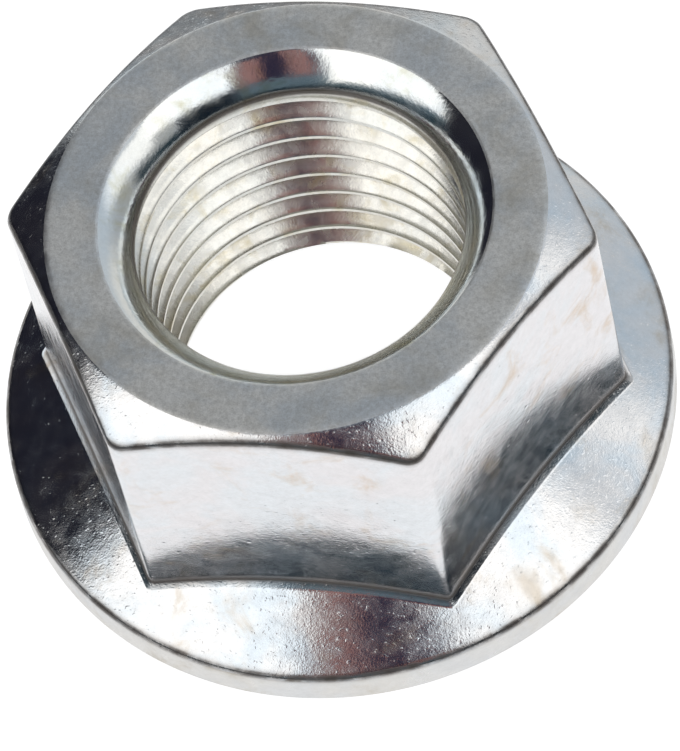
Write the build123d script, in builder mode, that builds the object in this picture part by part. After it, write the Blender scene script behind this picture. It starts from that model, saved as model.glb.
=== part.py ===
from build123d import *
from math import cos, radians, sin, tan
import os

# Serrated hexagon flange nut, cold forged in one piece from steel.
# Millimetres. The nut stands on its bearing face, which lies in Z = 0, its axis is Z
# and one corner of the hexagon points along +X.

# Thread, right hand. The bore is made at the minor diameter of the internal thread.
thread_diameter = 16.0
thread_pitch = 1.5
minor_diameter = thread_diameter - 1.0825 * thread_pitch

# Hexagon
nut_height = 16.0
across_flats = 22.5  # at the top face; the flats spread a little towards the flange
flat_draft = 1.7  # degrees
corner_radius = 1.2
face_diameter = 21.5  # flat ring left on top inside the chamfer
chamfer_angle = 30.0
foot_radius = 0.6  # hollow where the flats meet the flange

# Flange
flange_diameter = 31.0
flange_slope = 28.0  # degrees
rim_height = 2.0
rim_draft = 3.0  # degrees that the rim leans in on its way up

# Both mouths of the thread
countersink_diameter = 17.1
countersink_angle = 90.0
mouth_rounding = 0.6  # rolled edge between the top face and its countersink

# Serrated bearing face
underside_bevel_width = 0.55
underside_bevel_height = 0.4
tooth_count = 30
tooth_depth = 0.35  # under the rim; a gap runs out to nothing at its inner end
tooth_inner_diameter = 19.0
tooth_land = 0.3  # share of a tooth's step that stays flat at the crest
tooth_back = 0.12  # share of the step taken by the steep locking flank

flange_radius = flange_diameter / 2
rim_top_radius = flange_radius - rim_height * tan(radians(rim_draft))
bearing_radius = flange_radius - underside_bevel_width
flat_radius = across_flats / 2
face_radius = face_diameter / 2
bore_radius = minor_diameter / 2
mouth_radius = countersink_diameter / 2
mouth_depth = (mouth_radius - bore_radius) / tan(radians(countersink_angle / 2))
chamfer_drop = (flange_radius - face_radius) * tan(radians(chamfer_angle))
cone_top = rim_height + (rim_top_radius - bore_radius) * tan(radians(flange_slope))

# Flange, with its rim, the cone above it and the bevel below it
with BuildPart() as flange:
    with BuildSketch(Plane.XZ):
        with BuildLine():
            Polyline(
                (0, 0),
                (bearing_radius, 0),
                (flange_radius, underside_bevel_height),
                (rim_top_radius, rim_height),
                (bore_radius, cone_top),
                (0, cone_top),
                close=True,
            )
        make_face()
    revolve(axis=Axis.Z)

# Hexagon: six drafted flats, rolled corners and a cone-shaped chamfer round the top
with BuildPart() as hexagon:
    with BuildSketch():
        Circle(flange_radius)
    extrude(amount=nut_height)
    for flat_direction in range(30, 360, 60):
        outwards = Vector(cos(radians(flat_draft)), 0, sin(radians(flat_draft)))
        flat = Plane(
            origin=Vector(flat_radius, 0, nut_height).rotate(Axis.Z, flat_direction),
            z_dir=outwards.rotate(Axis.Z, flat_direction),
        )
        split(bisect_by=flat, keep=Keep.BOTTOM)
    corners = hexagon.edges().filter_by(lambda edge: edge.bounding_box().size.Z > nut_height / 2)
    fillet(corners, radius=corner_radius)
    with BuildSketch(Plane.XZ):
        with BuildLine():
            Polyline(
                (0, 0),
                (flange_radius, 0),
                (flange_radius, nut_height - chamfer_drop),
                (face_radius, nut_height),
                (0, nut_height),
                close=True,
            )
        make_face()
    revolve(axis=Axis.Z, mode=Mode.INTERSECT)

# One gap between two teeth, along +X. It deepens from the inner end to the rim, and its
# steep flank is on the clockwise side, seen from above, so the teeth slide when the nut
# is tightened and bite when it is turned back.
tooth_step = 360 / tooth_count
gap_end = tooth_step / 2 * (1 - tooth_land)
gap_root = gap_end - tooth_step * tooth_back
gap_length = flange_radius - tooth_inner_diameter / 2

with BuildPart() as tooth_gap:
    rim_end = Plane(origin=(flange_radius, 0, 0), x_dir=(0, 1, 0), z_dir=(1, 0, 0))
    with BuildSketch(rim_end) as gap_section:
        with BuildLine():
            Polyline(
                (-flange_radius * tan(radians(gap_end)), 0),
                (-flange_radius * tan(radians(gap_root)), tooth_depth),
                (flange_radius * tan(radians(gap_end)), 0),
                close=True,
            )
        make_face()
    loft(sections=[Vertex(flange_radius - gap_length, 0, 0), gap_section.sketch])

with BuildPart() as flange_nut:
    add(flange.part)
    add(hexagon.part)
    foot_edges = new_edges(flange.part, hexagon.part, combined=flange_nut.part)
    fillet(foot_edges, radius=foot_radius)

    # Bore with a countersink at both ends
    with BuildSketch(Plane.XZ):
        with BuildLine():
            Polyline(
                (0, 0),
                (mouth_radius, 0),
                (bore_radius, mouth_depth),
                (bore_radius, nut_height - mouth_depth),
                (mouth_radius, nut_height),
                (0, nut_height),
                close=True,
            )
        make_face()
    revolve(axis=Axis.Z, mode=Mode.SUBTRACT)
    top_circles = flange_nut.edges().filter_by(GeomType.CIRCLE).group_by(Axis.Z)[-1]
    fillet(top_circles.sort_by(SortBy.RADIUS)[0], radius=mouth_rounding)

    # Serrations
    with PolarLocations(0, tooth_count):
        add(tooth_gap.part, mode=Mode.SUBTRACT)

flange_nut.part.label = "flange_nut"

os.makedirs("parts", exist_ok=True)
export_step(flange_nut.part, "parts/flange_nut.step")
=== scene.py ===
from functools import partial
from math import cos, pi, radians, sin, tan

import bmesh
import bpy
import numpy as np
from mathutils import Matrix, Vector


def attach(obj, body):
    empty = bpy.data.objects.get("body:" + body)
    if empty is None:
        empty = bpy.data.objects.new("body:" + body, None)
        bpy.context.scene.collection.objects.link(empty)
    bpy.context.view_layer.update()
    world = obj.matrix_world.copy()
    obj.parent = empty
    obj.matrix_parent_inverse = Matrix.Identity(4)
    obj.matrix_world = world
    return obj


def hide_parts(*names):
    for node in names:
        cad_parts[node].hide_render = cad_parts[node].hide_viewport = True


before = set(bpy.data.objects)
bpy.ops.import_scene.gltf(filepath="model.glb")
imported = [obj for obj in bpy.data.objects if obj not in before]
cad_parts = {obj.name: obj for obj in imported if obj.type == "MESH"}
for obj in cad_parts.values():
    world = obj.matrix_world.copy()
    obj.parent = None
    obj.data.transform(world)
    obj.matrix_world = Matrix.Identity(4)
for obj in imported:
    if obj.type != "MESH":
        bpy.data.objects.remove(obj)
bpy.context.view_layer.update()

mm = 0.001
scene = bpy.context.scene
columnCount = 300  # columns of mesh round the nut: 50 to a side, 10 to a tooth
slots = ["topFace", "mouth", "forged", "flats", "rim", "thread", "underside"]

# sizes are in millimetres and radians, but vertices closer than these, in metres, become one
joining = {
    "withinPart": 2e-6,
    "betweenParts": 3e-6,
    "shortestEdge": 1e-7,
}


def newInput(tree, name, kind, default):
    socket = tree.interface.new_socket(name, in_out="INPUT", socket_type=kind)
    if default is not None:
        socket.default_value = default
    return socket


def mathNode(tree, operation, *values):
    node = tree.nodes.new("ShaderNodeMath")
    node.operation = operation
    for socket, value in zip(node.inputs, values):
        plug(tree, value, socket)
    return node.outputs[0]


def plug(tree, value, socket):
    if isinstance(value, bpy.types.NodeSocket):
        tree.links.new(value, socket)
    else:
        socket.default_value = value


def mixColour(tree, factor, first, second):
    node = tree.nodes.new("ShaderNodeMix")
    node.data_type = "RGBA"
    plug(tree, factor, node.inputs[0])
    plug(tree, first, node.inputs[6])
    plug(tree, second, node.inputs[7])
    return node.outputs[2]


def mapRange(tree, value, fromLow, fromHigh, toLow, toHigh, smooth=False):
    node = tree.nodes.new("ShaderNodeMapRange")
    node.clamp = True
    if smooth:
        node.interpolation_type = "SMOOTHSTEP"
    for name, given in zip(("Value", "From Min", "From Max", "To Min", "To Max"),
                           (value, fromLow, fromHigh, toLow, toHigh)):
        plug(tree, given, node.inputs[name])
    return node.outputs["Result"]


def unitGrid(tree, columns, rows):
    # a flat grid, with each point's share of the way across and up
    calc = partial(mathNode, tree)
    grid = tree.nodes.new("GeometryNodeMeshGrid")
    grid.inputs["Size X"].default_value = 1.0
    grid.inputs["Size Y"].default_value = 1.0
    plug(tree, calc("ADD", columns, 1.0), grid.inputs["Vertices X"])
    plug(tree, calc("ADD", rows, 1.0), grid.inputs["Vertices Y"])
    place = tree.nodes.new("ShaderNodeSeparateXYZ")
    tree.links.new(tree.nodes.new("GeometryNodeInputPosition").outputs[0], place.inputs[0])
    return grid.outputs["Mesh"], calc("ADD", place.outputs["X"], 0.5), calc("ADD", place.outputs["Y"], 0.5)


def placedRound(tree, geometry, radius, turn, height):
    # moves each point to its radius, angle and height about the axis
    calc = partial(mathNode, tree)
    spot = tree.nodes.new("ShaderNodeCombineXYZ")
    plug(tree, calc("MULTIPLY", radius, calc("COSINE", turn)), spot.inputs["X"])
    plug(tree, calc("MULTIPLY", radius, calc("SINE", turn)), spot.inputs["Y"])
    plug(tree, height, spot.inputs["Z"])
    shrink = tree.nodes.new("ShaderNodeVectorMath")
    shrink.operation = "SCALE"
    plug(tree, spot.outputs[0], shrink.inputs[0])
    shrink.inputs["Scale"].default_value = mm
    move = tree.nodes.new("GeometryNodeSetPosition")
    tree.links.new(geometry, move.inputs["Geometry"])
    tree.links.new(shrink.outputs[0], move.inputs["Position"])
    return move.outputs["Geometry"]


def finishTree(tree, geometry, material):
    merge = tree.nodes.new("GeometryNodeMergeByDistance")
    merge.inputs["Distance"].default_value = joining["withinPart"]
    real = tree.nodes.new("GeometryNodeRealizeInstances")
    paint = tree.nodes.new("GeometryNodeSetMaterial")
    out = tree.nodes.new("NodeGroupOutput")
    tree.links.new(geometry, real.inputs["Geometry"])
    tree.links.new(real.outputs["Geometry"], merge.inputs["Geometry"])
    tree.links.new(merge.outputs["Geometry"], paint.inputs["Geometry"])
    tree.links.new(material, paint.inputs["Material"])
    tree.links.new(paint.outputs["Geometry"], out.inputs["Geometry"])


def grownMesh(name, tree, values):
    # runs the tree on an empty object and gives back its result as a plain mesh
    holder = bpy.data.objects.new(name + "Holder", bpy.data.meshes.new(name + "Holder"))
    scene.collection.objects.link(holder)
    modifier = holder.modifiers.new("grow", "NODES")
    modifier.node_group = tree
    for item in tree.interface.items_tree:
        if item.in_out == "INPUT":
            modifier[item.identifier] = values[item.name]
    graph = bpy.context.evaluated_depsgraph_get()
    mesh = bpy.data.meshes.new_from_object(holder.evaluated_get(graph), depsgraph=graph)
    holder.modifiers.remove(modifier)
    bpy.data.objects.remove(holder)
    return mesh


# the countersinks at both ends of the bore
mouth = {
    "radius": 8.62,  # where the countersinks meet the faces
    "topDepth": 1.5,
    "topFullness": 1.25,  # 1 is a plain cone, 2 a quarter circle
    "bottomDepth": 2.1,
    "bottomFullness": 1.0,
    "capDepth": 0.5,  # where the rings of the outside hand over to the mesh of the thread
    "rows": 10,
    "shinyRadius": 8.5,
}

# the thread of the bore is one grid, wound up the helix from one countersink to the other
thread = {
    "crestRadius": 7.188,
    "rootRadius": 8.0,
    "pitch": 1.5,
    "rowsPerPitch": 16,
    "rowCount": 208,
    "crestHeight": 12.03,  # height of one crest at angle 0
    "turnsBelow": 10,  # turns from there down to where the grid starts
    "rootEnd": 1.0,  # rows from the middle of the groove to the end of its root
    "crestStart": 6.5,  # and to the start of the crest
    "leadIn": 1.6,  # under the top countersink the groove grows to its full depth over this height
    "leadDepth": 0.05,  # share of its depth that it has at that countersink
    "exitHeight": 1.1,  # height above the bearing face at which the groove has its full depth
}


def threadTree():
    tree = bpy.data.node_groups.new("boreThread", "GeometryNodeTree")
    tree.interface.new_socket("Geometry", in_out="OUTPUT", socket_type="NodeSocketGeometry")
    names = ["crestRadius", "rootRadius", "pitch", "startHeight", "nutHeight", "mouthRadius",
             "topDepth", "topFullness", "bottomDepth", "bottomFullness", "capDepth", "leadIn", "leadDepth",
             "exitHeight", "rootEnd", "crestStart"]
    for name in names:
        newInput(tree, name, "NodeSocketFloat", 1.0)
    for name in ("columnCount", "rowCount", "rowsPerPitch"):
        newInput(tree, name, "NodeSocketInt", 16)
    newInput(tree, "material", "NodeSocketMaterial", None)
    given = tree.nodes.new("NodeGroupInput").outputs
    calc = partial(mathNode, tree)

    grid, across, upward = unitGrid(tree, given["columnCount"], given["rowCount"])
    row = calc("ROUND", calc("MULTIPLY", upward, given["rowCount"]))

    # the groove's profile repeats every rowsPerPitch rows, with the middle of its root halfway
    phase = calc("MODULO", row, given["rowsPerPitch"])
    toRoot = calc("SUBTRACT", calc("MULTIPLY", given["rowsPerPitch"], 0.5), phase)
    fromRoot = calc("ABSOLUTE", toRoot)
    rowStep = calc("DIVIDE", given["pitch"], given["rowsPerPitch"])
    climb = calc("ADD", calc("MULTIPLY", row, rowStep), calc("MULTIPLY", across, given["pitch"]))
    height = calc("ADD", given["startHeight"], climb)

    # near either face, the countersink wins wherever it is wider than the groove
    fromTop = calc("SUBTRACT", given["nutHeight"], height)
    isTop = calc("LESS_THAN", fromTop, height)
    below = calc("MINIMUM", height, fromTop)
    mouthDepth = mapRange(tree, isTop, 0.0, 1.0, given["bottomDepth"], given["topDepth"])
    fullness = mapRange(tree, isTop, 0.0, 1.0, given["bottomFullness"], given["topFullness"])
    slow = mapRange(tree, fromTop, given["topDepth"], calc("ADD", given["topDepth"], given["leadIn"]),
                    given["leadDepth"], 1.0, smooth=True)
    quick = mapRange(tree, below, given["capDepth"], given["exitHeight"], 0.0, 1.0)
    share = mapRange(tree, isTop, 0.0, 1.0, quick, slow)
    groove = calc("MULTIPLY", calc("SUBTRACT", given["rootRadius"], given["crestRadius"]), share)
    cutAway = mapRange(tree, fromRoot, given["rootEnd"], given["crestStart"], groove, 0.0)
    grooveRadius = calc("ADD", given["crestRadius"], cutAway)
    mouthWidth = calc("SUBTRACT", given["mouthRadius"], given["crestRadius"])

    def sinkRadius(depth):
        part = calc("MAXIMUM", calc("SUBTRACT", 1.0, calc("DIVIDE", depth, mouthDepth)), 0.0)
        inward = calc("POWER", calc("SUBTRACT", 1.0, calc("POWER", part, fullness)),
                      calc("DIVIDE", 1.0, fullness))
        return calc("SUBTRACT", given["mouthRadius"], calc("MULTIPLY", mouthWidth, inward)), part, inward

    # rows that lie beside the line where the two meet slide onto it; 0.1 only keeps clear of zero
    sunk, part, inward = sinkRadius(below)
    over = calc("SUBTRACT", sunk, grooveRadius)
    bend = calc("POWER", calc("DIVIDE", part, calc("MAXIMUM", inward, 0.1)),
                calc("SUBTRACT", fullness, 1.0))
    fall = calc("MULTIPLY", calc("DIVIDE", mouthWidth, mouthDepth), bend)
    onFlank = calc("MULTIPLY", calc("GREATER_THAN", fromRoot, calc("ADD", given["rootEnd"], 0.5)),
                   calc("LESS_THAN", fromRoot, calc("SUBTRACT", given["crestStart"], 1.0)))
    opening = calc("SIGN", toRoot)
    flankRows = calc("SUBTRACT", given["crestStart"], given["rootEnd"])
    flankSlope = calc("DIVIDE", groove, calc("MULTIPLY", rowStep, flankRows))
    flank = calc("MULTIPLY", calc("MULTIPLY", opening, onFlank), flankSlope)
    lean = calc("MULTIPLY", flank, mapRange(tree, isTop, 0.0, 1.0, 1.0, -1.0))
    slide = calc("DIVIDE", over, calc("ADD", lean, fall))
    near = calc("LESS_THAN", calc("ABSOLUTE", slide), calc("MULTIPLY", rowStep, 0.5))
    slide = calc("MULTIPLY", slide, near)
    below = calc("MAXIMUM", calc("ADD", below, slide), given["capDepth"])
    radius = calc("MAXIMUM", calc("ADD", grooveRadius, calc("MULTIPLY", slide, lean)), sinkRadius(below)[0])
    topHeight = calc("SUBTRACT", given["nutHeight"], below)
    mixHeight = tree.nodes.new("ShaderNodeMix")
    plug(tree, isTop, mixHeight.inputs["Factor"])
    plug(tree, below, mixHeight.inputs["A"])
    plug(tree, topHeight, mixHeight.inputs["B"])

    turn = calc("MULTIPLY", across, 2 * pi)
    placed = placedRound(tree, grid, radius, turn, mixHeight.outputs["Result"])
    finishTree(tree, placed, given["material"])
    return tree


# the serrations of the bearing face: one sector, turned once for each tooth
teeth = {
    "count": 30,
    "innerRadius": 9.5,
    "outerRadius": 15.5,
    "depth": 0.35,
    "gapEnd": radians(4.2),
    "gapRoot": radians(2.76),
    "columns": 10,  # columns of mesh to a tooth, and the ones at the gap's root, middle and end
    "rootColumn": 1,
    "middleColumn": 3,
    "endColumn": 7,
    "gapRows": 8,
    "bevelRows": 4,
}


def teethTree():
    tree = bpy.data.node_groups.new("bearingTeeth", "GeometryNodeTree")
    tree.interface.new_socket("Geometry", in_out="OUTPUT", socket_type="NodeSocketGeometry")
    for name in ("innerRadius", "outerRadius", "depth", "gapEnd", "gapRoot", "bevelRadius",
                 "bevelTopRadius", "bevelHeight"):
        newInput(tree, name, "NodeSocketFloat", 1.0)
    for name in ("count", "columns", "rootColumn", "middleColumn", "endColumn", "gapRows", "bevelRows"):
        newInput(tree, name, "NodeSocketInt", 10)
    newInput(tree, "material", "NodeSocketMaterial", None)
    given = tree.nodes.new("NodeGroupInput").outputs
    calc = partial(mathNode, tree)

    rowTotal = calc("ADD", given["gapRows"], given["bevelRows"])
    grid, across, outward = unitGrid(tree, given["columns"], rowTotal)
    column = calc("ROUND", calc("MULTIPLY", across, given["columns"]))
    row = calc("ROUND", calc("MULTIPLY", outward, rowTotal))

    # columns stand at the gap's steep end, its root, its middle, its shallow end and the land
    backward = calc("MULTIPLY", given["gapEnd"], -1.0)
    toothStep = calc("DIVIDE", 2 * pi, given["count"])
    steepWidth = calc("SUBTRACT", given["gapEnd"], given["gapRoot"])
    steep = mapRange(tree, column, 0.0, given["rootColumn"], 0.0, steepWidth)
    toMiddle = mapRange(tree, column, given["rootColumn"], given["middleColumn"], 0.0, given["gapRoot"])
    toEnd = mapRange(tree, column, given["middleColumn"], given["endColumn"], 0.0, given["gapEnd"])
    land = calc("SUBTRACT", toothStep, calc("MULTIPLY", given["gapEnd"], 2.0))
    toNext = mapRange(tree, column, given["endColumn"], given["columns"], 0.0, land)
    turn = calc("ADD", calc("ADD", calc("ADD", backward, steep), calc("ADD", toMiddle, toEnd)), toNext)

    reach = mapRange(tree, row, 0.0, given["gapRows"], given["innerRadius"], given["bevelRadius"])
    beyond = mapRange(tree, row, given["gapRows"], rowTotal, 0.0,
                      calc("SUBTRACT", given["bevelTopRadius"], given["bevelRadius"]))
    radius = calc("ADD", reach, beyond)
    deepness = mapRange(tree, radius, given["innerRadius"], given["outerRadius"], 0.0, given["depth"])
    rising = mapRange(tree, column, 0.0, given["rootColumn"], 0.0, 1.0)
    falling = mapRange(tree, turn, calc("MULTIPLY", given["gapRoot"], -1.0), given["gapEnd"], 1.0, 0.0)
    gap = calc("MULTIPLY", deepness, calc("MINIMUM", rising, falling))
    bevel = mapRange(tree, radius, given["bevelRadius"], given["bevelTopRadius"], 0.0, given["bevelHeight"])
    height = calc("MAXIMUM", gap, bevel)

    sector = placedRound(tree, grid, radius, turn, height)
    stack = tree.nodes.new("GeometryNodeMeshLine")
    plug(tree, given["count"], stack.inputs["Count"])
    stack.inputs["Offset"].default_value = (0.0, 0.0, 0.0)
    spin = tree.nodes.new("ShaderNodeCombineXYZ")
    order = tree.nodes.new("GeometryNodeInputIndex").outputs[0]
    plug(tree, calc("MULTIPLY", order, toothStep), spin.inputs["Z"])
    spread = tree.nodes.new("GeometryNodeInstanceOnPoints")
    tree.links.new(stack.outputs["Mesh"], spread.inputs["Points"])
    tree.links.new(sector, spread.inputs["Instance"])
    tree.links.new(spin.outputs[0], spread.inputs["Rotation"])
    finishTree(tree, spread.outputs["Instances"], given["material"])
    return tree


# rings of the outside, whose columns slide from one set of angles to the next
nut = {
    "height": 16.0,
    "flatRadius": 11.25,  # axis to flat, at the level of the top face
    "flatDraft": tan(radians(1.7)),
    "cornerRadius": 1.0,
    "cornerColumns": 8,  # columns on either side of a corner that stand close together
    "cornerSpread": radians(2.88),  # and the angle that they take up
    "faceRadius": 10.75,
    "faceRoll": 0.22,  # rounding from the top face into the chamfer
    "chamferSlope": tan(radians(30)),
    "chamferRoll": 0.24,
    "footRadius": 11.9,  # axis to the outer edge of the strip at the foot of a flat
    "footCorner": 0.3,
    "footCornerTop": 0.4,  # the corners sharpen towards the foot
    "footRise": 0.33,
    "stripRoll": 0.02,
    "footRoll": 0.06,
    "rimTopRadius": 15.395,
    "rimHeight": 2.0,
    "rimRoll": 0.26,
    "coneSlope": tan(radians(28)),
    "bevelTopRadius": 15.479,
    "bevelRadius": 14.95,
    "bevelHeight": 0.4,
    "rollRows": 5,  # rows of mesh round a rounded line
    "rollShare": 0.7,  # share of the rounding that still has the finish before it
    "sharpAngle": radians(26),
}

columns = np.arange(columnCount)
evenAngle = 2 * pi * columns / columnCount

# columns of the teeth, at the places where teethTree puts them
toothStep = 2 * pi / teeth["count"]
stops = [0, teeth["rootColumn"], teeth["middleColumn"], teeth["endColumn"], teeth["columns"]]
stopAngles = [-teeth["gapEnd"], -teeth["gapRoot"], 0, teeth["gapEnd"], toothStep - teeth["gapEnd"]]
tooth, inTooth = np.divmod(columns + teeth["middleColumn"], teeth["columns"])
toothAngle = toothStep * tooth + np.interp(inTooth, stops, stopAngles)

# columns of the hexagon, close together round each corner
sideColumns = columnCount // 6
halfSide = sideColumns // 2
inSide = columns % sideColumns
nearCorner = np.minimum(inSide, sideColumns - inSide)
cornerOffset = np.interp(nearCorner, [0, nut["cornerColumns"], halfSide], [0, nut["cornerSpread"], pi / 6])
nearest = (columns + halfSide) // sideColumns
hexAngle = pi / 3 * nearest + np.where(inSide < halfSide, 1, -1) * cornerOffset


def hexagonRadius(angle, flat, corner):
    fromCorner = np.abs((angle + pi / 6) % (pi / 3) - pi / 6)
    centre = (flat - corner) / cos(pi / 6)
    tangentAt = np.arctan2(corner / 2, centre + corner * cos(pi / 6))
    onFlat = flat / np.cos(pi / 6 - fromCorner)
    under = np.maximum(corner ** 2 - (centre * np.sin(fromCorner)) ** 2, 0)
    return np.where(fromCorner > tangentAt, onFlat, centre * np.cos(fromCorner) + np.sqrt(under))


def flatAt(height):
    return nut["flatRadius"] + (nut["height"] - height) * nut["flatDraft"]


def coneHeight(radius):
    return nut["rimHeight"] + (nut["rimTopRadius"] - radius) * nut["coneSlope"]


def around(radius, height):
    return np.stack([np.zeros(columnCount) + radius, np.zeros(columnCount) + height], -1)


def chamferEdge(rounds=30):
    # a flat spreads on its way down, so height and radius are found in turn until they agree
    height = np.full(columnCount, nut["height"])
    for _ in range(rounds):
        radius = hexagonRadius(hexAngle, flatAt(height), nut["cornerRadius"])
        height = nut["height"] - (radius - nut["faceRadius"]) * nut["chamferSlope"]
    return around(radius, height)


footEdge = hexagonRadius(hexAngle, nut["footRadius"], nut["footCorner"])
footHeight = coneHeight(footEdge)
stripTop = footHeight + nut["footRise"]
stripEdge = hexagonRadius(hexAngle, flatAt(stripTop), nut["footCornerTop"])


def mouthRows(side):
    # a countersink, from where the mesh of the thread ends up to the face
    depth = mouth[side + "Depth"]
    power = 2 / mouth[side + "Fullness"]
    width = mouth["radius"] - thread["crestRadius"]
    steepest = np.arccos((1 - mouth["capDepth"] / depth) ** (1 / power))
    rows = []
    for step in range(mouth["rows"]):
        steep = steepest * (1 - step / mouth["rows"])
        below = depth * (1 - cos(steep) ** power)
        radius = mouth["radius"] - width * sin(steep) ** power
        if side == "top":
            finish = "mouth" if radius < mouth["shinyRadius"] else "topFace"
            rows.append((around(radius, nut["height"] - below), evenAngle, finish))
        else:
            rows.append((around(radius, below), evenAngle, "underside"))
    return rows


# key lines of the profile: line, rounding, rows to the next one, columns here, finish
columnSets = {"even": evenAngle, "hexagon": hexAngle, "teeth": toothAngle}
keyLines = [
    (around(mouth["radius"], nut["height"]), 0, 8, "even", "topFace"),
    (around(nut["faceRadius"], nut["height"]), nut["faceRoll"], 6, "hexagon", "forged"),
    (chamferEdge(), nut["chamferRoll"], 22, "hexagon", "flats"),
    (around(stripEdge, stripTop), nut["stripRoll"], 3, "hexagon", "forged"),
    (around(footEdge, footHeight), nut["footRoll"], 16, "hexagon", "forged"),
    (around(nut["rimTopRadius"], nut["rimHeight"]), nut["rimRoll"], 6, "teeth", "rim"),
    (around(nut["bevelTopRadius"], nut["bevelHeight"]), 0, 0, "teeth", "rim"),
]


def profileRows(lines):
    rows = []
    rollRows = nut["rollRows"]
    for index in range(len(lines) - 1):
        start, roll, count, columnSet, finish = lines[index]
        end, endRoll, _, endSet, endFinish = lines[index + 1]
        run = (end - start) / np.linalg.norm(end - start, axis=1, keepdims=True)
        first = start + run * roll
        last = end - run * endRoll
        for step in range(count + 1):
            if step == count and endRoll == 0 and index < len(lines) - 2:
                continue  # a sharp line is the first row of the next stretch
            part = (1 - cos(pi * step / count)) / 2
            angle = columnSets[columnSet] * (1 - part) + columnSets[endSet] * part
            rows.append((first + (last - first) * part, angle, finish))
        if endRoll:
            after = lines[index + 2][0]
            nextRun = (after - end) / np.linalg.norm(after - end, axis=1, keepdims=True)
            beyond = end + nextRun * endRoll
            for step in range(1, rollRows):
                part = step / rollRows
                curve = last * (1 - part) ** 2 + end * 2 * part * (1 - part) + beyond * part ** 2
                rows.append((curve, columnSets[endSet], finish if part < nut["rollShare"] else endFinish))
    return rows


def wrapMesh(name, rows):
    points = np.concatenate([
        np.stack([line[:, 0] * np.cos(angle), line[:, 0] * np.sin(angle), line[:, 1]], -1)
        for line, angle, _ in rows])
    faces = []
    indexes = []
    for row in range(len(rows) - 1):
        here = row * columnCount
        there = here + columnCount
        for place in range(columnCount):
            beside = (place + 1) % columnCount
            faces.append((here + beside, here + place, there + place, there + beside))
            indexes.append(slots.index(rows[row][2]))
    mesh = bpy.data.meshes.new(name)
    mesh.from_pydata((points * mm).tolist(), [], faces)
    mesh.polygons.foreach_set("material_index", indexes)
    return mesh


print("rings of the outside")
outside = wrapMesh("outside", mouthRows("top") + profileRows(keyLines))

landLines = [
    (around(teeth["innerRadius"], 0), 0, 4, "teeth", "underside"),
    (around(mouth["radius"], 0), 0, 0, "even", "underside"),
]
underside = wrapMesh("underside", profileRows(landLines) + mouthRows("bottom")[::-1])


def makeGroup(name, inputs, outputs):
    tree = bpy.data.node_groups.new(name, "ShaderNodeTree")
    for label, kind, default in inputs:
        newInput(tree, label, kind, default)
    for label, kind in outputs:
        tree.interface.new_socket(label, in_out="OUTPUT", socket_type=kind)
    given = tree.nodes.new("NodeGroupInput").outputs
    return tree, given, tree.nodes.new("NodeGroupOutput").inputs


def noise(tree, vector, scale, detail=2.0, roughness=0.5, distortion=0.0):
    node = tree.nodes.new("ShaderNodeTexNoise")
    for name, value in (("Vector", vector), ("Scale", scale), ("Detail", detail),
                        ("Roughness", roughness), ("Distortion", distortion)):
        plug(tree, value, node.inputs[name])
    return node.outputs["Fac"]


def vectorNode(tree, operation, first, second):
    node = tree.nodes.new("ShaderNodeVectorMath")
    node.operation = operation
    plug(tree, first, node.inputs[0])
    plug(tree, second, node.inputs["Scale"] if operation == "SCALE" else node.inputs[1])
    return node.outputs[0]


def useGroup(tree, group, values):
    node = tree.nodes.new("ShaderNodeGroup")
    node.node_tree = group
    for name, value in values.items():
        plug(tree, value, node.inputs[name])
    return node.outputs


# the forged grain: how fine each pattern is against the grain's own size, and how they add up
forging = {
    "broadScale": 0.3,
    "broadWarp": 0.3,
    "broadShare": 0.6,
    "dentScale": 1.0,
    "dentWarp": 0.2,
    "fineScale": 2.7,
    "fineShift": (3.1, 7.7, 5.3),  # moves the finer dents aside, so that they don't follow the others
    "grainScale": 1.3,
    "grainShift": (9.4, 2.2, 6.1),
    "grainFrom": 0.62,
    "grainTo": 0.80,
    "clusterFrom": 0.42,
    "clusterTo": 0.60,
    "clusterLeast": 0.35,  # share of the grains that is left between the clusters
    "cloudScale": 0.7,
    "cloudShare": 0.6,  # the mottling is this much cloud, and fine dents for the rest
}


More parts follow.
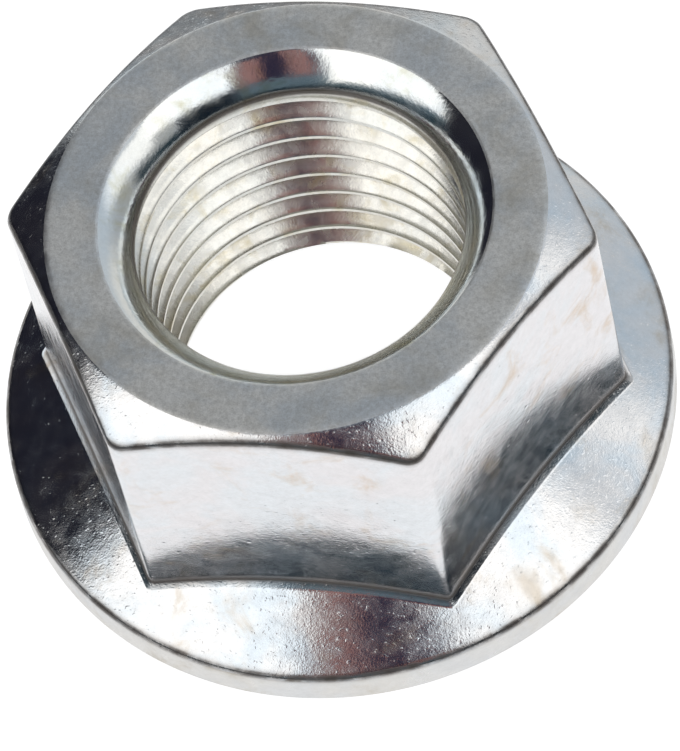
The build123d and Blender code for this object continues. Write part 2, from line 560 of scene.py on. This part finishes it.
def makeGrain():
    # a forged skin: soft dents with smaller ones on them, pulled out along one direction
    floats = (("size", 0.3), ("fine", 0.35), ("grains", 0.3))
    tree, given, out = makeGroup(
        "forgedGrain", [("position", "NodeSocketVector", None), ("stretch", "NodeSocketVector", (1, 1, 1))]
        + [(name, "NodeSocketFloat", value) for name, value in floats],
        [("height", "NodeSocketFloat"), ("shade", "NodeSocketFloat"), ("mottle", "NodeSocketFloat")])
    stretched = vectorNode(tree, "MULTIPLY", given["position"], given["stretch"])
    place = vectorNode(tree, "SCALE", stretched, mathNode(tree, "DIVIDE", 1 / mm, given["size"]))
    broad = noise(tree, place, forging["broadScale"], distortion=forging["broadWarp"])
    dents = noise(tree, place, forging["dentScale"], distortion=forging["dentWarp"])
    finePlace = vectorNode(tree, "ADD", place, forging["fineShift"])
    fineDents = noise(tree, finePlace, forging["fineScale"], detail=1.5)
    grainPlace = vectorNode(tree, "ADD", place, forging["grainShift"])
    grainCloud = noise(tree, grainPlace, forging["grainScale"], detail=1.0, roughness=0.4)
    grains = mapRange(tree, grainCloud, forging["grainFrom"], forging["grainTo"], 0.0, 1.0, smooth=True)
    mixed = mathNode(tree, "ADD", dents, mathNode(tree, "MULTIPLY", fineDents, given["fine"]))
    cluster = mapRange(tree, broad, forging["clusterFrom"], forging["clusterTo"],
                       forging["clusterLeast"], 1.0)
    clustered = mathNode(tree, "MULTIPLY", grains, cluster)
    mixed = mathNode(tree, "ADD", mixed, mathNode(tree, "MULTIPLY", clustered, given["grains"]))
    swell = mathNode(tree, "MULTIPLY", broad, forging["broadShare"])
    plug(tree, mathNode(tree, "ADD", mixed, swell), out["height"])
    plug(tree, broad, out["shade"])
    cloud = noise(tree, place, forging["cloudScale"], detail=3.0, roughness=0.65)
    cloud = mathNode(tree, "MULTIPLY", cloud, forging["cloudShare"])
    rest = mathNode(tree, "MULTIPLY", fineDents, 1 - forging["cloudShare"])
    plug(tree, mathNode(tree, "ADD", cloud, rest), out["mottle"])
    return tree


def makeStains():
    # soft-edged patches
    tree, given, out = makeGroup(
        "plateStains", [("position", "NodeSocketVector", None), ("size", "NodeSocketFloat", 3.0),
                        ("from", "NodeSocketFloat", 0.55), ("to", "NodeSocketFloat", 0.7)],
        [("mask", "NodeSocketFloat")])
    place = vectorNode(tree, "SCALE", given["position"], mathNode(tree, "DIVIDE", 1 / mm, given["size"]))
    cloud = noise(tree, place, 1.0, detail=4.0, roughness=0.6, distortion=0.5)
    plug(tree, mapRange(tree, cloud, given["from"], given["to"], 0.0, 1.0, smooth=True), out["mask"])
    return tree


# how far a pit reaches from the middle of its cell
pitReach = {
    "least": 0.06,
    "most": 0.26,
}


def makePits():
    # small scattered pits and specks, each cell of the pattern holding one or none
    tree, given, out = makeGroup(
        "platePits", [("position", "NodeSocketVector", None), ("size", "NodeSocketFloat", 0.8),
                      ("share", "NodeSocketFloat", 0.3)],
        [("mask", "NodeSocketFloat")])
    place = vectorNode(tree, "SCALE", given["position"], mathNode(tree, "DIVIDE", 1 / mm, given["size"]))
    cells = tree.nodes.new("ShaderNodeTexVoronoi")
    plug(tree, place, cells.inputs["Vector"])
    cells.inputs["Scale"].default_value = 1.0
    split = tree.nodes.new("ShaderNodeSeparateColor")
    tree.links.new(cells.outputs["Color"], split.inputs[0])
    reach = mapRange(tree, split.outputs["Green"], 0.0, 1.0, pitReach["least"], pitReach["most"])
    dot = mapRange(tree, cells.outputs["Distance"], 0.0, reach, 1.0, 0.0, smooth=True)
    chosen = mathNode(tree, "LESS_THAN", split.outputs["Red"], given["share"])
    plug(tree, mathNode(tree, "MULTIPLY", dot, chosen), out["mask"])
    return tree


grainGroup = makeGrain()
stainGroup = makeStains()
pitGroup = makePits()

# the finish of each zone: roughness from smooth to worn, sizes and depths in millimetres
zinc = {
    "topFace": dict(colour=(0.78, 0.785, 0.775), roughness=(0.34, 0.50), size=0.16, stretch=(1, 1, 1),
                    fine=0.6, grains=0.4, bump=0.0052, mottle=0.52, stain=(0.47, 0.44, 0.37), stainSize=3.0,
                    stainFrom=0.44, stainTo=0.86, tint=(0.60, 0.65, 0.70), pitDepth=0.006),
    "mouth": dict(colour=(0.80, 0.81, 0.79), roughness=(0.09, 0.18), size=0.35, stretch=(1, 1, 1),
                  fine=0.6, grains=0.4, bump=0.0040, mottle=0.12, stain=(0.56, 0.56, 0.44), stainSize=1.8,
                  stainFrom=0.52, stainTo=0.8, tint=(0.70, 0.75, 0.78), pitDepth=0.003),
    "forged": dict(colour=(0.79, 0.785, 0.785), roughness=(0.11, 0.22), size=0.21, stretch=(1, 1, 1),
                   fine=0.8, grains=1.5, bump=0.0050, mottle=0.15, stain=(0.58, 0.51, 0.42), stainSize=2.4,
                   stainFrom=0.52, stainTo=0.80, tint=(0.66, 0.73, 0.79), pitDepth=0.006),
    "flats": dict(colour=(0.80, 0.785, 0.80), roughness=(0.12, 0.21), size=0.26, stretch=(1, 1, 1.15),
                  fine=0.7, grains=1.0, bump=0.0034, mottle=0.14, stain=(0.68, 0.56, 0.45), stainSize=2.3,
                  stainFrom=0.52, stainTo=0.84, tint=(0.77, 0.80, 0.83), pitDepth=0.008),
    "rim": dict(colour=(0.72, 0.71, 0.69), roughness=(0.26, 0.38), size=0.3, stretch=(1, 1, 1.4),
                fine=0.5, grains=0.3, bump=0.004, mottle=0.14, stain=(0.58, 0.54, 0.47), stainSize=1.8,
                stainFrom=0.5, stainTo=0.8, tint=(0.70, 0.71, 0.72), pitDepth=0.006),
    "thread": dict(colour=(0.81, 0.795, 0.74), roughness=(0.18, 0.30), size=0.22, stretch=(1, 1, 0.5),
                   fine=0.7, grains=0.4, bump=0.0034, mottle=0.16, stain=(0.64, 0.57, 0.38), stainSize=1.8,
                   stainFrom=0.48, stainTo=0.80, tint=(0.76, 0.77, 0.74), pitDepth=0.003),
    "underside": dict(colour=(0.68, 0.69, 0.70), roughness=(0.22, 0.34), size=0.25, stretch=(1, 1, 1),
                      fine=0.5, grains=0.3, bump=0.005, mottle=0.2, stain=(0.50, 0.47, 0.41), stainSize=3.0,
                      stainFrom=0.55, stainTo=0.8, tint=(0.64, 0.68, 0.72), pitDepth=0.006),
}

# what all zones share
plating = {
    "specular": 0.3,
    "tintShift": (0.05, 0.02, 0.07),  # metres, so that tints and stains don't fall together
    "tintSize": 4.0,
    "tintFrom": 0.4,
    "tintTo": 0.66,
    "pitSize": 0.55,
    "pitShare": 0.16,
    "mottleColour": (0.30, 0.30, 0.29, 1),
    "mottleFrom": 0.35,
    "mottleTo": 0.65,
    "wornFrom": 0.3,
    "wornTo": 0.7,
    # one dark colour for the dirt on the outer edges and for the painted shade under the lip and at the
    # foot of the flats
    "dirtAndShadeColour": (0.10, 0.085, 0.075, 1),
    "dirtAndShadeCover": 0.94,
    "dirtAndShadeFrom": 0.5,  # thicker dirt and painted shade than this are less and less metallic
    "dirtAndShadeMetal": 0.25,  # how metallic the thickest dirt and painted shade still are
    "raggedLeast": 0.5,  # share of a line that is left where it is most worn
    "raggedSize": 1.1,
    "raggedFrom": 0.25,
    "raggedTo": 0.65,
    "stainRoughness": 0.06,
}


def zincMaterial(name, look):
    material = bpy.data.materials.new(name)
    material.use_nodes = True
    tree = material.node_tree
    shader = tree.nodes["Principled BSDF"]
    shader.inputs["Specular IOR Level"].default_value = plating["specular"]
    place = tree.nodes.new("ShaderNodeTexCoord").outputs["Object"]
    grain = useGroup(tree, grainGroup, {"position": place, "stretch": look["stretch"], "size": look["size"],
                                        "fine": look["fine"], "grains": look["grains"]})
    stains = useGroup(tree, stainGroup, {"position": place, "size": look["stainSize"],
                                         "from": look["stainFrom"], "to": look["stainTo"]})["mask"]
    tints = useGroup(tree, stainGroup, {"position": vectorNode(tree, "ADD", place, plating["tintShift"]),
                                        "size": plating["tintSize"], "from": plating["tintFrom"],
                                        "to": plating["tintTo"]})["mask"]
    pits = useGroup(tree, pitGroup, {"position": place, "size": plating["pitSize"],
                                     "share": plating["pitShare"]})["mask"]
    colour = mixColour(tree, tints, (*look["colour"], 1), (*look["tint"], 1))
    colour = mixColour(tree, stains, colour, (*look["stain"], 1))
    darkened = mapRange(tree, grain["mottle"], plating["mottleFrom"], plating["mottleTo"],
                        look["mottle"], 0.0)
    colour = mixColour(tree, darkened, colour, plating["mottleColour"])

    # dirt along the outer edges, and painted shade under the lip of the bore and at the foot of the flats,
    # as markEdges paints them
    edges = tree.nodes.new("ShaderNodeAttribute")
    edges.attribute_name = "edges"
    lines = tree.nodes.new("ShaderNodeSeparateColor")
    tree.links.new(edges.outputs["Color"], lines.inputs[0])
    ragged = useGroup(tree, stainGroup, {"position": place, "size": plating["raggedSize"],
                                         "from": plating["raggedFrom"], "to": plating["raggedTo"]})["mask"]
    outer = mathNode(tree, "MAXIMUM", lines.outputs["Red"], lines.outputs["Green"])
    outer = mathNode(tree, "MULTIPLY", outer, mapRange(tree, ragged, 0.0, 1.0, plating["raggedLeast"], 1.0))
    # the blue channel is painted shade, which darkens the colour and the metal as the dirt does
    dirtAndShade = mathNode(tree, "MAXIMUM", outer, lines.outputs["Blue"])
    cover = mathNode(tree, "MULTIPLY", dirtAndShade, plating["dirtAndShadeCover"])
    plug(tree, mixColour(tree, cover, colour, plating["dirtAndShadeColour"]), shader.inputs["Base Color"])
    metal = mapRange(tree, dirtAndShade, plating["dirtAndShadeFrom"], 1.0, 1.0, plating["dirtAndShadeMetal"])
    plug(tree, metal, shader.inputs["Metallic"])

    smooth, rough = look["roughness"]
    worn = mapRange(tree, grain["shade"], plating["wornFrom"], plating["wornTo"], smooth, rough)
    dulled = mathNode(tree, "MULTIPLY", stains, plating["stainRoughness"])
    plug(tree, mathNode(tree, "ADD", worn, dulled), shader.inputs["Roughness"])
    bump = tree.nodes.new("ShaderNodeBump")
    bump.inputs["Strength"].default_value = 1.0
    bump.inputs["Distance"].default_value = look["bump"] * mm
    deep = mathNode(tree, "MULTIPLY", pits, look["pitDepth"] / look["bump"])
    plug(tree, mathNode(tree, "SUBTRACT", grain["height"], deep), bump.inputs["Height"])
    tree.links.new(bump.outputs["Normal"], shader.inputs["Normal"])
    return material


print("materials")
materials = {name: zincMaterial(name, zinc[name]) for name in slots}

print("thread and serrations")
threadValues = dict(thread, columnCount=columnCount, nutHeight=nut["height"], mouthRadius=mouth["radius"],
                    topDepth=mouth["topDepth"], topFullness=mouth["topFullness"],
                    bottomDepth=mouth["bottomDepth"], bottomFullness=mouth["bottomFullness"],
                    capDepth=mouth["capDepth"], material=materials["thread"],
                    startHeight=thread["crestHeight"] - thread["turnsBelow"] * thread["pitch"])
threadMesh = grownMesh("boreThread", threadTree(), threadValues)
toothValues = dict(teeth, bevelRadius=nut["bevelRadius"], bevelTopRadius=nut["bevelTopRadius"],
                   bevelHeight=nut["bevelHeight"], material=materials["underside"])
teethMesh = grownMesh("bearingTeeth", teethTree(), toothValues)

# the four parts become one closed mesh
splitMargin = 0.06  # what is this far above and outside the crest at the top end is countersink
sinkFloor = nut["height"] - mouth["topDepth"] + splitMargin
whole = bmesh.new()
parts = [(outside, None), (underside, None), (threadMesh, "thread"), (teethMesh, "underside")]
for mesh, slotName in parts:
    already = len(whole.faces)
    whole.from_mesh(mesh)
    if slotName:
        whole.faces.ensure_lookup_table()
        for face in whole.faces[already:]:
            face.material_index = slots.index(slotName)
            middle = face.calc_center_median() / mm
            outsideCrest = middle.xy.length > thread["crestRadius"] + splitMargin
            if slotName == "thread" and middle.z > sinkFloor and outsideCrest:
                face.material_index = slots.index("mouth")
bmesh.ops.remove_doubles(whole, verts=whole.verts, dist=joining["betweenParts"])
bmesh.ops.dissolve_degenerate(whole, edges=whole.edges, dist=joining["shortestEdge"])
bmesh.ops.recalc_face_normals(whole, faces=whole.faces)
openEdges = [edge for edge in whole.edges if len(edge.link_faces) != 2]
print("open edges", len(openEdges), "volume mm3", round(whole.calc_volume() / mm ** 3, 1))
nutMesh = bpy.data.meshes.new("flangeNut")
whole.to_mesh(nutMesh)
whole.free()
for name in slots:
    nutMesh.materials.append(materials[name])


# dark lines along the edges, dirt on the outer ones and painted shade under the lip and at the foot of the
# flats: how wide each is, in millimetres, and where it lies
edgeLines = {
    "peak": 1.5,  # over 1, so that the middle of a line is evenly dark
    "chamferWidth": 0.22,
    "rimWidth": 0.2,
    "rimInward": 0.03,
    "rimUpward": 0.02,
    "lipWidth": 0.21,
    "creaseWidth": 0.12,
    "creaseReach": 0.4,  # under 1 draws the painted shade of the crease out up the flat
    # painted shade on the flats, darkest at their foot: how dark, how fast it fades, and how high it
    # reaches
    "hollowShade": 0.5,
    "hollowFade": 0.9,
    "hollowHeight": 6,
}


def lineMask(outward, upward, width):
    return np.minimum(edgeLines["peak"] * np.exp(-(outward ** 2 + upward ** 2) / width ** 2), 1)


def markEdges(mesh):
    # red: chamfer and flats; green: cone and rim; blue: painted shade under the lip of the bore, and in the
    # crease and hollow at the foot of the flats
    spots = np.empty(len(mesh.vertices) * 3)
    mesh.vertices.foreach_get("co", spots)
    x, y, height = spots.reshape(-1, 3).T / mm
    radius = np.hypot(x, y)
    angle = np.arctan2(y, x) % (2 * pi)
    turns = np.append(hexAngle, 2 * pi)

    def atAngle(values):
        return np.interp(angle, turns, np.append(values, values[0]))

    edge = chamferEdge()
    foot = atAngle(stripTop)
    rise = height - foot
    footFlat = hexagonRadius(angle, flatAt(foot), nut["footCornerTop"])
    # painted shade: a dark line under the lip of the bore, where the groove starts
    paintedLipShade = lineMask(radius - thread["crestRadius"], height - nut["height"] + mouth["topDepth"],
                   edgeLines["lipWidth"])
    # painted shade in the crease between the flat and the strip at its foot
    paintedCreaseShade = lineMask(radius - footFlat, np.where(rise > 0, edgeLines["creaseReach"] * rise, rise),
                      edgeLines["creaseWidth"])
    # painted shade up the flats, darkest at the foot and fading upward
    inHollow = (radius > nut["flatRadius"]) & (rise > 0) & (rise < edgeLines["hollowHeight"])
    paintedHollowShade = edgeLines["hollowShade"] * np.exp(-np.abs(rise) / edgeLines["hollowFade"]) * inHollow
    colours = np.zeros((len(mesh.vertices), 4))
    colours[:, 0] = lineMask(radius - atAngle(edge[:, 0]), height - atAngle(edge[:, 1]),
                             edgeLines["chamferWidth"])
    colours[:, 1] = lineMask(radius - nut["rimTopRadius"] + edgeLines["rimInward"],
                             height - nut["rimHeight"] - edgeLines["rimUpward"], edgeLines["rimWidth"])
    colours[:, 2] = np.maximum(np.maximum(paintedLipShade, paintedCreaseShade), paintedHollowShade)
    colours[:, 3] = 1
    layer = mesh.attributes.new("edges", "FLOAT_COLOR", "POINT")
    layer.data.foreach_set("color", colours.ravel())


markEdges(nutMesh)
nutMesh.polygons.foreach_set("use_smooth", [True] * len(nutMesh.polygons))
nutMesh.set_sharp_from_angle(angle=nut["sharpAngle"])
print("triangles", sum(len(face.vertices) - 2 for face in nutMesh.polygons))
flangeNut = bpy.data.objects.new("flangeNut", nutMesh)
scene.collection.objects.link(flangeNut)
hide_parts("flange_nut")
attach(flangeNut, "root")


# a sheet of paper under the nut, in metres
stage = {
    "floorSize": 1.2,
    "floorGap": 0.00003,
    "closeBy": 0.00045,  # mirrored rays shorter than this pass through, so that the underside isn't blank
    "floorColour": (0.3, 0.3, 0.3, 1),
    "floorRoughness": 0.9,
    "seenGlow": 0.93,
    "mirrorGlow": 0.9,
    "paperEdge": 0.023,  # in a mirror the paper fades from here
    "paperEnd": 0.09,
    "paperRest": 0.04,  # to this share of its glow here
}


def makeFloor():
    mesh = bpy.data.meshes.new("studioFloor")
    half = stage["floorSize"] / 2
    level = -stage["floorGap"]
    corners = [(-half, -half, level), (half, -half, level), (half, half, level), (-half, half, level)]
    mesh.from_pydata(corners, [], [(0, 1, 2, 3)])
    floor = bpy.data.objects.new("studioFloor", mesh)
    scene.collection.objects.link(floor)
    material = bpy.data.materials.new("studioFloor")
    material.use_nodes = True
    tree = material.node_tree
    shader = tree.nodes["Principled BSDF"]
    shader.inputs["Base Color"].default_value = stage["floorColour"]
    shader.inputs["Roughness"].default_value = stage["floorRoughness"]
    shader.inputs["Specular IOR Level"].default_value = 0.0
    path = tree.nodes.new("ShaderNodeLightPath")
    seen = mathNode(tree, "MAXIMUM", path.outputs["Is Camera Ray"], path.outputs["Is Transmission Ray"])

    # in a mirror the floor fades to dark far away, where the sheet of paper ends
    place = tree.nodes.new("ShaderNodeTexCoord").outputs["Object"]
    far = tree.nodes.new("ShaderNodeVectorMath")
    far.operation = "LENGTH"
    plug(tree, place, far.inputs[0])
    paper = mapRange(tree, far.outputs["Value"], stage["paperEdge"], stage["paperEnd"],
                     1.0, stage["paperRest"], smooth=True)
    glow = tree.nodes.new("ShaderNodeEmission")
    mirrored = mathNode(tree, "MULTIPLY", path.outputs["Is Glossy Ray"], paper)
    seen = mathNode(tree, "MULTIPLY", seen, stage["seenGlow"])
    mirrored = mathNode(tree, "MULTIPLY", mirrored, stage["mirrorGlow"])
    plug(tree, mathNode(tree, "ADD", seen, mirrored), glow.inputs["Strength"])
    both = tree.nodes.new("ShaderNodeAddShader")
    tree.links.new(shader.outputs[0], both.inputs[0])
    tree.links.new(glow.outputs[0], both.inputs[1])

    # seen from below the floor is clear, and so it is to mirrored rays from close by
    clear = tree.nodes.new("ShaderNodeBsdfTransparent")
    behind = tree.nodes.new("ShaderNodeNewGeometry").outputs["Backfacing"]
    close = mathNode(tree, "LESS_THAN", path.outputs["Ray Length"], stage["closeBy"])
    close = mathNode(tree, "MULTIPLY", close, path.outputs["Is Glossy Ray"])
    choose = tree.nodes.new("ShaderNodeMixShader")
    plug(tree, mathNode(tree, "MAXIMUM", behind, close), choose.inputs["Fac"])
    tree.links.new(both.outputs[0], choose.inputs[1])
    tree.links.new(clear.outputs[0], choose.inputs[2])
    tree.links.new(choose.outputs[0], tree.nodes["Material Output"].inputs["Surface"])
    mesh.materials.append(material)


# the camera: the angles that it is seen under, and its distance and shift in millimetres
camera = {
    "azimuth": radians(19.533),
    "elevation": radians(58.718),
    "roll": radians(-14.268),
    "distance": 176.832,
    "aside": 0.186,
    "above": 1.047,
    "lens": 183.44,
    "sensor": 36.0,
    "nearest": 0.01,  # metres
}

wallColour = (0.46, 0.47, 0.48, 1)  # the even grey behind the panels

# soft panels and dark cards: azimuth from the camera's side (plus is to its right), half width,
# elevation, half height, softness, all in degrees, then the colour
panels = {
    "below": (0, 200, -48, 44, 4, (0.20, 0.21, 0.23)),
    "belowLeft": (-60, 26, -42, 24, 8, (1.1, 1.1, 1.08)),
    "belowRight": (60, 26, -42, 24, 8, (1.1, 1.1, 1.08)),
    "belowBack": (180, 26, -42, 24, 8, (1.1, 1.1, 1.08)),
    "backWall": (180, 60, 8, 14, 10, (0.80, 0.80, 0.78)),
    "horizonCard": (-9, 94, 6, 9, 4, (0.022, 0.04, 0.052)),
    "lowCard": (-35, 68, 20, 8, 5, (0.12, 0.17, 0.20)),
    "darkCorner": (31, 18, 18, 11, 3, (0.008, 0.014, 0.022)),
    "leftDark": (-127, 28, 25, 26, 4, (0.016, 0.016, 0.024)),
    "leftPanel": (-67, 31, 40, 23, 3, (1.45, 1.44, 1.42)),
    "rightPanel": (45, 30, 46, 18, 3, (1.45, 1.44, 1.42)),
    "rightLow": (88, 22, 32, 12, 4, (1.25, 1.25, 1.24)),
    "rightBack": (125, 22, 30, 18, 8, (0.59, 0.64, 0.69)),
    "rightHigh": (98, 22, 56, 12, 6, (0.68, 0.72, 0.77)),
    "darkCard": (-9, 24, 48, 22, 3, (0.03, 0.025, 0.05)),
    "warmSpotA": (-23, 6, 46, 19, 3, (0.36, 0.18, 0.16)),
    "warmSpotB": (5, 6, 43, 15, 3, (0.36, 0.18, 0.16)),
}


def makeWorld():
    world = bpy.data.worlds.new("studio")
    world.use_nodes = True
    tree = world.node_tree
    calc = partial(mathNode, tree)
    cosine, sine = cos(camera["azimuth"]), sin(camera["azimuth"])
    place = tree.nodes.new("ShaderNodeTexCoord").outputs["Generated"]
    split = tree.nodes.new("ShaderNodeSeparateXYZ")
    plug(tree, place, split.inputs[0])
    x, y, z = split.outputs
    aside = calc("ADD", calc("MULTIPLY", x, cosine), calc("MULTIPLY", y, sine))
    toward = calc("SUBTRACT", calc("MULTIPLY", x, sine), calc("MULTIPLY", y, cosine))
    azimuth = calc("DEGREES", calc("ARCTAN2", aside, toward))
    elevation = calc("DEGREES", calc("ARCSINE", z))
    colour = wallColour
    for at, width, height, reach, soft, tint in panels.values():
        turned = calc("ABSOLUTE", calc("WRAP", calc("SUBTRACT", azimuth, at), 180.0, -180.0))
        raised = calc("ABSOLUTE", calc("SUBTRACT", elevation, height))
        inWidth = mapRange(tree, turned, width - soft, width + soft, 1.0, 0.0, smooth=True)
        inHeight = mapRange(tree, raised, reach - soft, reach + soft, 1.0, 0.0, smooth=True)
        colour = mixColour(tree, calc("MULTIPLY", inWidth, inHeight), colour, (*tint, 1))

    # the camera itself sees plain white behind the floor
    seen = tree.nodes.new("ShaderNodeLightPath").outputs["Is Camera Ray"]
    plug(tree, mixColour(tree, seen, colour, (1, 1, 1, 1)), tree.nodes["Background"].inputs["Color"])
    scene.world = world


def makeCamera():
    azimuth, elevation, roll = camera["azimuth"], camera["elevation"], camera["roll"]
    level = cos(elevation)
    back = Vector((sin(azimuth) * level, -cos(azimuth) * level, sin(elevation)))
    right = Vector((cos(azimuth), sin(azimuth), 0))
    up = back.cross(right)
    across = right * cos(roll) + up * sin(roll)
    upward = up * cos(roll) - right * sin(roll)
    place = right * camera["aside"] + up * camera["above"] + back * camera["distance"]
    data = bpy.data.cameras.new("camera")
    data.lens = camera["lens"]
    data.sensor_width = camera["sensor"]
    data.clip_start = camera["nearest"]
    holder = bpy.data.objects.new("camera", data)
    turned = Matrix((across, upward, back)).transposed().to_4x4()
    holder.matrix_world = Matrix.Translation(place * mm) @ turned
    scene.collection.objects.link(holder)
    scene.camera = holder


print("stage")
makeFloor()
makeWorld()
makeCamera()
scene.view_settings.view_transform = "Standard"
